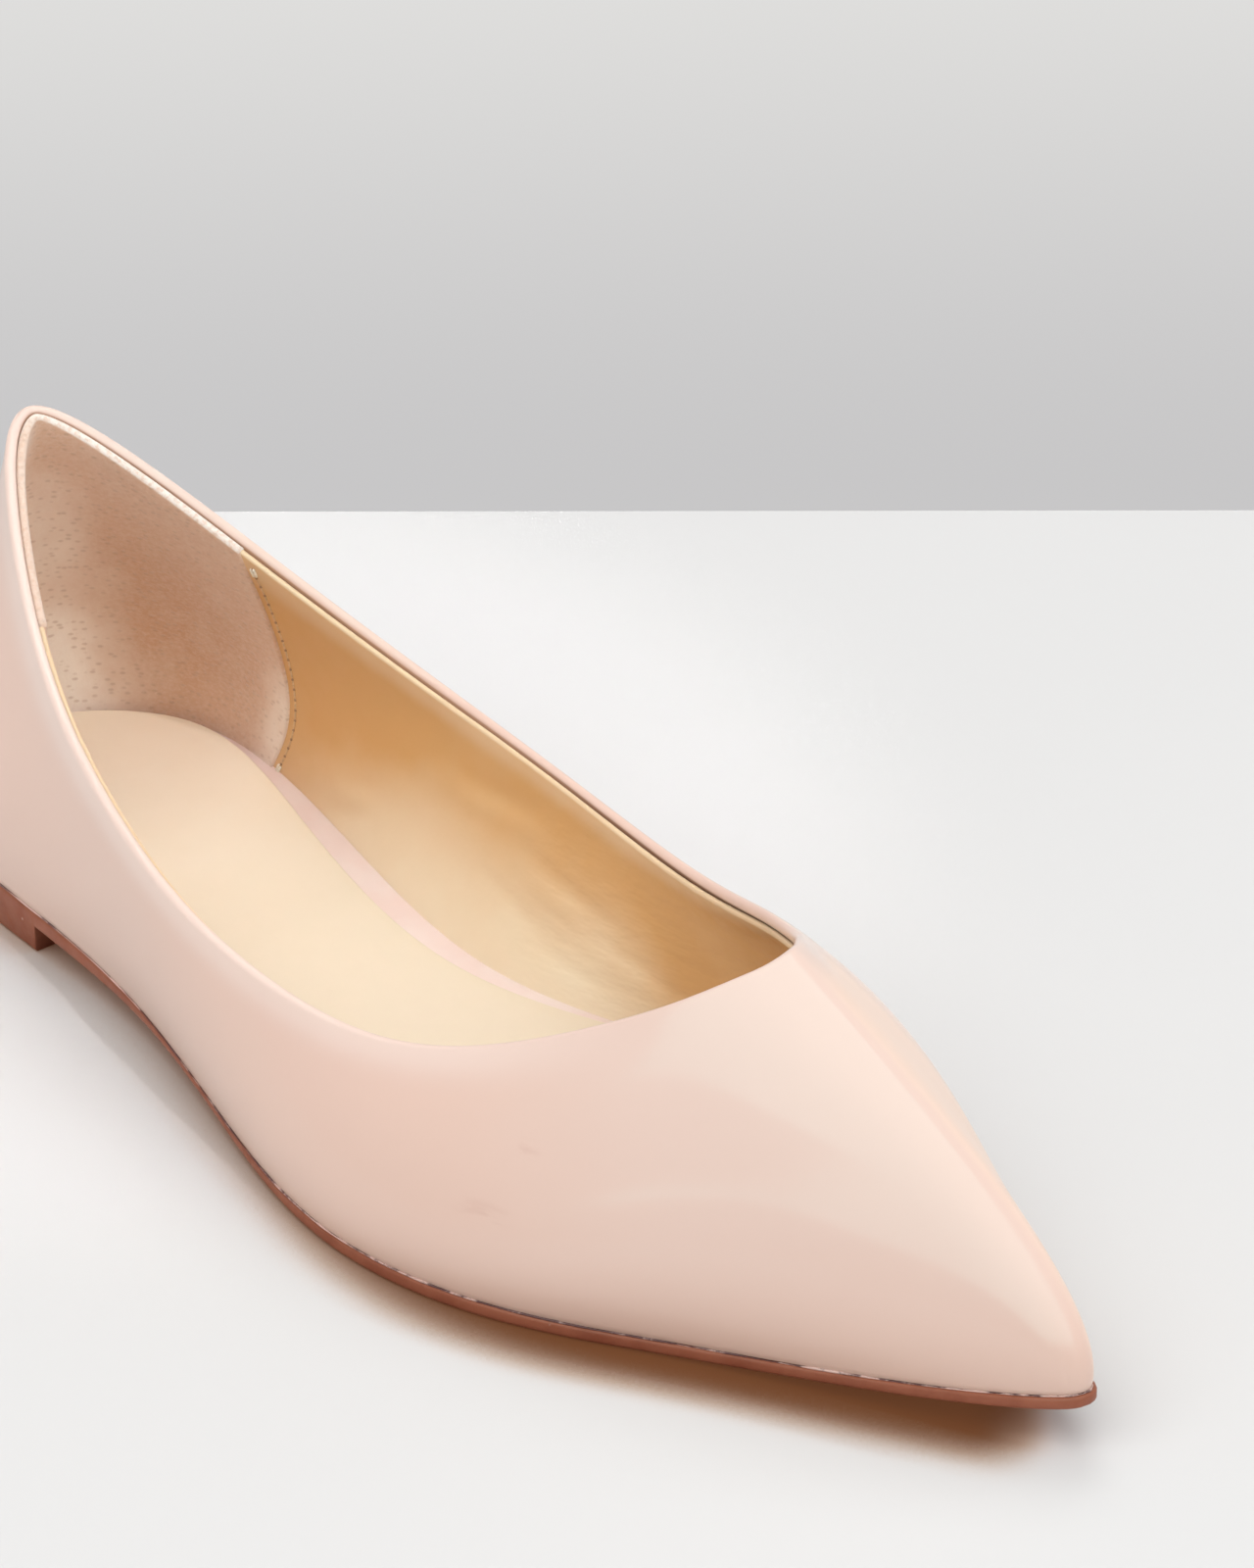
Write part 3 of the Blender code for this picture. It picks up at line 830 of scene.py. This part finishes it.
class Nodes:
    """A node tree with short helpers."""

    def __init__(self, owner, shader, place):
        owner.use_nodes = True
        self.tree = owner.node_tree
        self.shader = self.tree.nodes[shader]
        self.where = self.node("ShaderNodeTexCoord").outputs[place]

    def node(self, kind, values=None, **settings):
        node = self.tree.nodes.new(kind)
        for name, value in settings.items():
            setattr(node, name, value)
        for name, value in (values or {}).items():
            node.inputs[name].default_value = value
        return node

    def link(self, out, into):
        self.tree.links.new(out, into)

    def noise(self, scale, detail, rough=0.5, stretch=None):
        node = self.node("ShaderNodeTexNoise", {"Scale": scale, "Detail": detail, "Roughness": rough})
        self.link(self.stretched(stretch), node.inputs["Vector"])
        return node.outputs["Fac"]

    def cells(self, scale, random=1.0, stretch=None):
        node = self.node("ShaderNodeTexVoronoi", {"Scale": scale, "Randomness": random})
        self.link(self.stretched(stretch), node.inputs["Vector"])
        return node.outputs["Distance"]

    def stretched(self, stretch):
        if stretch is None:
            return self.where
        node = self.node("ShaderNodeMapping", {"Scale": stretch})
        self.link(self.where, node.inputs["Vector"])
        return node.outputs["Vector"]

    def ramp(self, value, low, high, to_low=0.0, to_high=1.0):
        ends = {"From Min": low, "From Max": high, "To Min": to_low, "To Max": to_high}
        node = self.node("ShaderNodeMapRange", ends, interpolation_type="SMOOTHSTEP")
        self.link(value, node.inputs["Value"])
        return node.outputs["Result"]

    def maths(self, operation, a, b):
        node = self.node("ShaderNodeMath", operation=operation)
        for socket, value in zip(node.inputs, (a, b)):
            if isinstance(value, (int, float)):
                socket.default_value = value
            else:
                self.link(value, socket)
        return node.outputs["Value"]

    def vectors(self, operation, a, b=None):
        node = self.node("ShaderNodeVectorMath", operation=operation)
        self.link(a, node.inputs[0])
        if b is not None:
            node.inputs[1].default_value = b
        return node

    def mixed(self, share, a, b):
        node = self.node("ShaderNodeMix", data_type="RGBA")
        for socket, value in ((node.inputs[0], share), (node.inputs[6], a), (node.inputs[7], b)):
            if isinstance(value, tuple):
                socket.default_value = (*value, 1.0)
            else:
                self.link(value, socket)
        return node.outputs[2]

    def mottle(self, scale, detail, low, high, a, b, rough=0.5):
        """Two colours in soft patches."""
        return self.mixed(self.ramp(self.noise(scale, detail, rough), low, high), a, b)

    def tint(self, colour, mask, strength, other):
        """A colour drawn toward another one by a mask and a strength."""
        return self.mixed(self.maths("MULTIPLY", mask, strength), colour, other)

    def part(self, axis):
        """One coordinate of the surface."""
        split = self.node("ShaderNodeSeparateXYZ")
        self.link(self.where, split.inputs["Vector"])
        return split.outputs[axis]

    def along(self, back, front, to_back=0.0, to_front=1.0):
        """A soft change between two table positions along the shoe."""
        low, high = shifted(((back, 0, 0), (front, 0, 0)))[:, 0]
        return self.ramp(self.part("X"), low, high, to_back, to_front)

    def attribute(self, name):
        return self.node("ShaderNodeAttribute", attribute_name=name).outputs["Fac"]

    def near(self, place, reach, stretch=(1.0, 1.0, 1.0)):
        """One near a table point, falling to zero at the reach, in millimetres."""
        apart = self.vectors("SUBTRACT", self.where, tuple(shifted(place)))
        scaled = self.vectors("MULTIPLY", apart.outputs["Vector"], stretch)
        length = self.vectors("LENGTH", scaled.outputs["Vector"])
        return self.ramp(length.outputs["Value"], 0.0, reach * MM, 1.0, 0.0)

    def feed(self, socket, out):
        self.link(out, self.shader.inputs[socket])

    def colour(self, out):
        self.feed("Base Color", out)

    def roughness(self, scale, detail, low, high, least, most):
        self.feed("Roughness", self.ramp(self.noise(scale, detail), low, high, least, most))

    def bump(self, height, strength, distance, under=None):
        node = self.node("ShaderNodeBump", {"Strength": strength, "Distance": distance * MM})
        self.link(height, node.inputs["Height"])
        if under is not None:
            self.link(under, node.inputs["Normal"])
        return node.outputs["Normal"]

    def normal(self, out):
        self.feed("Normal", out)


class Look(Nodes):
    """A material whose even values are set on its shader."""

    def __init__(self, name, **shader_values):
        self.made = bpy.data.materials.new(name)
        super().__init__(self.made, "Principled BSDF", "Object")
        for key, value in shader_values.items():
            self.shader.inputs[key.replace("_", " ").title().replace("Ior", "IOR")].default_value = value


def patent_look():
    look = Look("patent_leather", roughness=0.32, specular_ior_level=0.12, coat_roughness=0.1, coat_ior=1.5)
    pink = (0.80, 0.615, 0.54)
    rosy = (0.79, 0.595, 0.52)
    smudge = (0.62, 0.40, 0.34)
    painted_shade_pink = (0.755, 0.53, 0.44)
    painted_highlight_pale = (0.90, 0.77, 0.70)
    painted_sheen_cream = (0.89, 0.68, 0.565)
    gap_shade_back = (0.50, 0.30, 0.21)
    gap_shade_front = (0.25, 0.12, 0.08)
    colour = look.mottle(14.0, 1.0, 0.25, 0.75, pink, rosy)
    marks = look.near((173.0, -39.5, 25.3), 2.6, (0.8, 1.0, 1.2))
    scuff = look.near((170.5, -45.5, 16.0), 6.0, (0.9, 0.9, 2.4))
    streak = look.ramp(look.noise(420.0, 4.0, 0.6, (0.35, 0.35, 1.6)), 0.42, 0.66)
    dirt = look.maths("MULTIPLY", look.maths("MAXIMUM", marks, scuff), streak)
    colour = look.tint(colour, dirt, 0.6, smudge)
    # Painted shade from the low mask: the lower wall and the sides are drawn toward a deeper pink.
    colour = look.tint(colour, look.attribute("low"), 0.75, painted_shade_pink)
    # Painted highlight: the brow under the collar's edge is drawn toward pale.
    colour = look.tint(colour, look.attribute("brow_highlight"), 0.25, painted_highlight_pale)
    # Painted shade in the gap under the collar: the folded inside is dark brown, darker toward the front.
    inside = look.mixed(look.along(60.0, 135.0), gap_shade_back, gap_shade_front)
    colour = look.mixed(look.attribute("fold"), colour, inside)
    # Painted reflection: the vamp's far side, which turns away, is drawn toward cream, with a thinner coat.
    turned_sheen = look.attribute("turned_sheen")
    look.colour(look.tint(colour, turned_sheen, 0.8, painted_sheen_cream))
    look.feed("Coat Weight", look.ramp(turned_sheen, 0.0, 1.0, 0.45, 0.05))
    look.roughness(60.0, 2.0, 0.25, 0.75, 0.3, 0.36)
    look.normal(look.bump(look.noise(520.0, 1.0), 0.03, 0.08))
    look.feed("Coat Normal", look.bump(look.noise(130.0, 1.0), 0.03, 0.25))
    return look.made


def lining_look():
    look = Look("smooth_lining", roughness=0.42)
    lit_cream = (0.87, 0.735, 0.545)
    tan = (0.655, 0.365, 0.145)
    edge = (0.85, 0.66, 0.45)
    cloud = look.ramp(look.noise(90.0, 4.0), 0.2, 0.8, -0.06, 0.06)
    # Painted light from the pale mask: tan drawn toward cream near the foot and under the top edge.
    colour = look.mixed(look.maths("ADD", look.attribute("pale"), cloud), tan, lit_cream)
    look.colour(look.tint(colour, look.attribute("edge"), 0.55, edge))
    look.roughness(260.0, 4.0, 0.3, 0.7, 0.36, 0.5)
    soft = look.bump(look.noise(170.0, 3.0), 0.12, 0.5)
    wrinkles = look.noise(150.0, 3.0, 0.55, (0.6, 1.0, 1.7))
    crumpled = look.maths("MULTIPLY", wrinkles, look.near((134.0, 23.0, 17.0), 42.0))
    soft = look.bump(crumpled, 0.5, 1.1, soft)
    look.normal(look.bump(look.cells(1500.0), 0.12, 0.05, soft))
    return look.made


def suede_look():
    look = Look("pigskin_suede", roughness=0.95, sheen_weight=0.5, sheen_roughness=0.6)
    base = (0.67, 0.42, 0.285)
    brown = (0.53, 0.265, 0.13)
    pale = (0.95, 0.85, 0.76)
    nap_light = (0.86, 0.72, 0.63)
    pore_dark = (0.45, 0.27, 0.18)
    cut_edge = (0.86, 0.79, 0.73)
    cloud = look.ramp(look.noise(110.0, 5.0, 0.6), 0.3, 0.72, -0.14, 0.14)
    # Painted shade toward brown in the middle of each side, then painted light toward pale at the back and
    # by the seam.
    colour = look.mixed(look.maths("ADD", look.attribute("shaded_middle"), cloud), base, brown)
    colour = look.mixed(look.maths("ADD", look.attribute("pale"), cloud), colour, pale)
    nap = look.ramp(look.noise(1100.0, 3.0, 0.7, (1.0, 1.0, 1.6)), 0.35, 0.75, 0.0, 0.22)
    colour = look.mixed(nap, colour, nap_light)
    pores = look.ramp(look.cells(980.0, random=0.8, stretch=(0.6, 0.6, 1.1)), 0.12, 0.4, 1.0, 0.0)
    pores = look.maths("MULTIPLY", pores, look.ramp(look.noise(300.0, 2.0), 0.22, 0.5))
    colour = look.tint(colour, pores, 0.4, pore_dark)
    frayed = look.ramp(look.noise(1300.0, 3.0, 0.7), 0.3, 0.6, 0.35, 0.95)
    look.colour(look.tint(colour, look.attribute("edge"), frayed, cut_edge))
    fuzz = look.bump(look.noise(2300.0, 3.0, 0.7), 0.35, 0.12)
    look.normal(look.bump(look.maths("SUBTRACT", 1.0, pores), 0.3, 0.12, fuzz))
    return look.made


def sock_look():
    look = Look("footbed_sheet", roughness=0.55)
    beige = (0.93, 0.81, 0.655)
    warm = (0.915, 0.785, 0.62)
    shaded = (0.725, 0.60, 0.46)
    colour = look.mottle(45.0, 3.0, 0.35, 0.7, beige, warm)
    look.colour(look.mixed(look.along(36.0, 78.0, 0.0, 0.9), colour, shaded))
    look.roughness(300.0, 4.0, 0.3, 0.7, 0.48, 0.62)
    soft = look.bump(look.noise(120.0, 3.0), 0.06, 0.4)
    look.normal(look.bump(look.cells(1300.0), 0.1, 0.05, soft))
    return look.made


def board_look():
    look = Look("board_cover", roughness=0.45)
    pink = (0.765, 0.585, 0.54)
    pale = (0.785, 0.635, 0.595)
    look.colour(look.mottle(110.0, 3.0, 0.35, 0.7, pink, pale))
    look.normal(look.bump(look.noise(600.0, 3.0), 0.08, 0.1))
    return look.made


def rubber_look():
    look = Look("sole_rubber", roughness=0.38, specular_ior_level=0.2)
    brown = (0.33, 0.11, 0.062)
    dark = (0.265, 0.08, 0.044)
    dust = (0.72, 0.52, 0.44)
    colour = look.mottle(140.0, 5.0, 0.35, 0.7, brown, dark, 0.6)
    speck = look.ramp(look.cells(210.0), 0.0, 0.075, 1.0, 0.0)
    some = look.ramp(look.noise(55.0, 1.0), 0.5, 0.62)
    look.colour(look.tint(colour, speck, some, dust))
    look.roughness(320.0, 4.0, 0.3, 0.7, 0.3, 0.5)
    look.normal(look.bump(look.noise(700.0, 4.0, 0.6), 0.16, 0.12))
    return look.made


def cement_look():
    look = Look("feather_cement", roughness=0.6)
    dark = (0.13, 0.05, 0.048)
    pinkish = (0.66, 0.44, 0.39)
    ragged = look.ramp(look.noise(420.0, 4.0, 0.65), 0.3, 0.7, -0.12, 0.12)
    patches = look.maths("ADD", look.noise(75.0, 2.0), ragged)
    look.colour(look.mixed(look.ramp(patches, 0.42, 0.58), dark, pinkish))
    look.normal(look.bump(look.noise(1800.0, 3.0), 0.4, 0.15))
    return look.made


def thread_look(name, colour):
    look = Look(name, roughness=0.7)
    darker = tuple(0.82 * part for part in colour)
    look.colour(look.mottle(2500.0, 2.0, 0.4, 0.65, colour, darker))
    look.normal(look.bump(look.noise(4000.0, 2.0), 0.3, 0.05))
    return look.made


def table_look():
    """Pale paper with a painted warm contact shadow under the front of the shoe, which also glows as
    painted bounce light.
    """
    look = Look("table_top", roughness=0.6, specular_ior_level=0.08)
    paper = look.mottle(6.0, 2.0, 0.3, 0.7, (0.71, 0.71, 0.716), (0.72, 0.72, 0.726))
    half_shade = (0.56, 0.43, 0.34)
    full_shade = (0.07, 0.024, 0.008)
    glow = (0.11, 0.042, 0.018, 1.0)
    lean = look.node("ShaderNodeCombineXYZ", dict(zip("XYZ", SHADE_LEAN)))
    shut = look.node("ShaderNodeAmbientOcclusion", {"Distance": SHADE_REACH * MM}, samples=16)
    look.link(lean.outputs["Vector"], shut.inputs["Normal"])
    forward = look.along(SHADE_START, SHADE_FULL, SHADE_LEAST, 1.0)
    narrower = look.along(SHADE_START, SHADE_FULL, SHADE_NARROW, 0.0)
    across = look.vectors("DOT_PRODUCT", look.where, SHADE_ACROSS)
    moved = float(np.dot(shifted(np.zeros(3)), SHADE_ACROSS))
    tip = look.ramp(across.outputs["Value"], SHADE_FADE * MM + moved, SHADE_END * MM + moved, 1.0, 0.0)
    open_sky = look.maths("ADD", shut.outputs["AO"], narrower)
    shade = look.maths("MULTIPLY", look.ramp(open_sky, 0.42, 0.9, 1.0, 0.0), forward)
    shade = look.maths("MULTIPLY", shade, tip)
    tinted = look.mixed(look.ramp(shade, 0.0, 0.5), paper, half_shade)
    look.colour(look.mixed(look.ramp(shade, 0.1, 1.0), tinted, full_shade))
    # Painted light: the shade glows warm, as bounce light from the sole.
    look.feed("Emission Strength", shade)
    look.shader.inputs["Emission Color"].default_value = glow
    return look.made


def wall_look():
    """Grey paper with its own glow, brighter higher up."""
    look = Look("wall_paper", roughness=0.9, emission_strength=1.0)
    look.colour(look.mottle(3.0, 2.0, 0.3, 0.7, (0.05, 0.05, 0.05), (0.052, 0.052, 0.052)))
    rise = look.ramp(look.part("Z"), WALL_DIM, WALL_BRIGHT)
    glow = look.mixed(rise, (0.545, 0.535, 0.54), (0.745, 0.735, 0.72))
    look.feed("Emission Color", glow)
    return look.made


# Camera: angles in degrees, eye in table millimetres, lens and sensor in millimetres

AZIMUTH = 49.4
ELEVATION = 27.8
ROLL_ANGLE = -0.3
EYE = (957.6, -693.0, 620.9)
LENS = 194.8
SENSOR = 36.0

# Table and wall: a point of the table's far edge in table millimetres, the rest in metres
EDGE_POINT = (-10.9, 137.5, 0.0)
EDGE_SLANT = 0.009
TABLE_Z = -0.0002
TABLE_HALF = 4.0
TABLE_DEPTH = 5.0
WALL_AWAY = 1.6
WALL_HALF = 6.0
WALL_FOOT = -3.0
WALL_TOP = 0.3
WALL_DIM = -0.78
WALL_BRIGHT = -0.48

# The contact shade on the table looks toward the light that the shoe keeps off
SHADE_LEAN = (0.12, 0.57, 0.81)
SHADE_REACH = 16.0
SHADE_START = 112.0
SHADE_FULL = 195.0
SHADE_LEAST = 0.45
SHADE_NARROW = 0.3
SHADE_ACROSS = (0.65, 0.76, 0.0)
SHADE_FADE = 142.0
SHADE_END = 159.0


def plain_mesh(name, corners, look):
    """One flat face of the stage."""
    made = new_mesh(name, corners, [tuple(range(len(corners)))], look)


def make_stage():
    """Pale table top that ends behind the shoe, and a grey wall beyond it."""
    turn = math.radians(AZIMUTH)
    ahead = np.array([-math.sin(turn), math.cos(turn), 0.0])
    right = np.array([math.cos(turn), math.sin(turn), 0.0]) - EDGE_SLANT * ahead
    edge = shifted(EDGE_POINT)
    edge[2] = TABLE_Z
    near = edge - ahead * TABLE_DEPTH
    half = right * TABLE_HALF
    plain_mesh("table_top", [edge - half, near - half, near + half, edge + half], table_look())
    far = edge + ahead * WALL_AWAY
    half = right * WALL_HALF
    low = far + np.array([0, 0, WALL_FOOT])
    high = far + np.array([0, 0, WALL_TOP])
    plain_mesh("back_wall", [low - half, low + half, high + half, high - half], wall_look())


# Lights: degrees counted from the toe's direction to the inner side, metres and watts
Panel = namedtuple("Panel", "name azimuth elevation distance width height power colour")
SOFT_PANELS = [
    Panel("overhead", -10, 72, 2.0, 1.8, 2.0, 8.5, (1.0, 0.995, 0.99)),
    Panel("back_key", 140, 55, 1.8, 0.9, 0.9, 8.0, (1.0, 0.99, 0.98)),
    Panel("near_fill", -75, 50, 1.7, 1.8, 1.2, 14.4, (1.0, 0.975, 0.95)),
    Panel("low_fill", -135, 14, 1.3, 1.4, 0.4, 2.6, (1.0, 0.955, 0.91)),
    Panel("toe_fill", 15, 34, 1.6, 1.4, 0.8, 7.0, (1.0, 0.985, 0.97)),
    Panel("far_fill", 70, 32, 1.7, 1.2, 0.9, 4.5, (1.0, 0.985, 0.97)),
]
EDGE_PANEL = Panel("edge_card", 85, 22, 1.7, 3.0, 1.1, 9.0, (1.0, 0.88, 0.78))
LIGHT_AIM = (0.02, 0.0, 0.02)

# Level cards that only the gloss shows: place, width, height and power
LEVEL_CARDS = {
    "gloss_card": ((0.85, -0.25, 1.41), 2.9, 3.1, 76.0),
    "gloss_front": ((1.27, -3.65, 1.41), 2.15, 3.7, 67.0),
}
CARD_COLOUR = (0.42, 1.0, 0.97)

# Narrow lamp on the heel seat: aim in table millimetres
SPOT_POWER = 215.0
SPOT_COLOUR = (1.0, 0.985, 0.965)
SPOT_ANGLE = 3.1
SPOT_RADIUS = 0.12
SPOT_AIM = (20.0, 1.0, 13.0)
SPOT_AWAY = (0.42, -0.06, 0.9)
SPOT_DISTANCE = 1.2

# Room light at the horizon and overhead, and where it starts to grow
SKY_START = 0.1
SKY_LOW = 0.2
SKY_HIGH = 0.35
SKY_COLOUR = (1.0, 0.985, 0.97, 1.0)


def add_panel(name, width, height, power, colour):
    """A rectangular light that looks straight down, not yet placed."""
    data = bpy.data.lights.new(name, "AREA")
    data.shape = "RECTANGLE"
    data.size = width
    data.size_y = height
    data.energy = power
    data.color = colour
    return placed(name, data)


def aim(made, target, away, distance):
    """Put a light away from its target, looking back at it."""
    made.location = Vector(target) + away * distance
    made.rotation_euler = away.to_track_quat("Z", "Y").to_euler()


def aimed_panel(panel):
    """A panel that looks at the shoe."""
    a = math.radians(panel.azimuth)
    e = math.radians(panel.elevation)
    away = Vector((math.cos(a) * math.cos(e), math.sin(a) * math.cos(e), math.sin(e)))
    made = add_panel(panel.name, panel.width, panel.height, panel.power, panel.colour)
    aim(made, LIGHT_AIM, away, panel.distance)
    return made


def make_sky():
    """Soft room light that grows from the horizon to the zenith."""
    world = bpy.data.worlds.new("room")
    sky = Nodes(world, "Background", "Generated")
    sky.shader.inputs["Color"].default_value = SKY_COLOUR
    sky.feed("Strength", sky.ramp(sky.part("Z"), SKY_START, 1.0, SKY_LOW, SKY_HIGH))
    bpy.context.scene.world = world


def make_spot():
    """The narrow lamp on the heel seat."""
    data = bpy.data.lights.new("heel_spot", "SPOT")
    data.energy = SPOT_POWER
    data.color = SPOT_COLOUR
    data.spot_size = math.radians(SPOT_ANGLE)
    data.spot_blend = 1.0
    data.shadow_soft_size = SPOT_RADIUS
    made = placed("heel_spot", data)
    aim(made, shifted(SPOT_AIM), Vector(SPOT_AWAY).normalized(), SPOT_DISTANCE)
    made.visible_glossy = False


def make_lights():
    """Soft panels that the gloss leaves out, and cards that only the gloss shows."""
    for panel in SOFT_PANELS:
        aimed_panel(panel).visible_glossy = False
    for name, (place, width, height, power) in LEVEL_CARDS.items():
        made = add_panel(name, width, height, power, CARD_COLOUR)
        made.location = place
        made.visible_diffuse = False
    aimed_panel(EDGE_PANEL).visible_diffuse = False
    make_spot()
    make_sky()


def make_camera():
    """The camera at the picture's angle."""
    a = math.radians(AZIMUTH)
    e = math.radians(ELEVATION)
    r = math.radians(ROLL_ANGLE)
    back = Vector((math.sin(a) * math.cos(e), -math.cos(a) * math.cos(e), math.sin(e)))
    level = Vector((math.cos(a), math.sin(a), 0.0))
    rise = back.cross(level)
    right = level * math.cos(r) + rise * math.sin(r)
    up = rise * math.cos(r) - level * math.sin(r)
    data = bpy.data.cameras.new("camera")
    data.lens = LENS
    data.sensor_width = SENSOR
    data.sensor_fit = "AUTO"
    data.clip_start = 0.05
    data.clip_end = 50.0
    made = placed("camera", data)
    turn = Matrix((right, up, back)).transposed().to_4x4()
    made.matrix_world = Matrix.Translation(Vector(shifted(EYE))) @ turn
    bpy.context.scene.camera = made


def main():
    make_leather(patent_look())
    make_lining(lining_look())
    make_heel_lining(suede_look())
    make_seams(
        thread_look("lining_thread", (0.70, 0.46, 0.26)),
        # Painted shade: the needle holes are dark brown beads set into the lining.
        thread_look("needle_hole_shade", (0.42, 0.24, 0.13)),
        thread_look("tie_thread", (0.88, 0.80, 0.68)),
    )
    make_sock(sock_look())
    make_board(board_look())
    make_outsole(rubber_look())
    make_glue(cement_look())
    make_stage()
    make_lights()
    make_camera()
    view = bpy.context.scene.view_settings
    view.view_transform = "Standard"
    view.look = "None"


main()
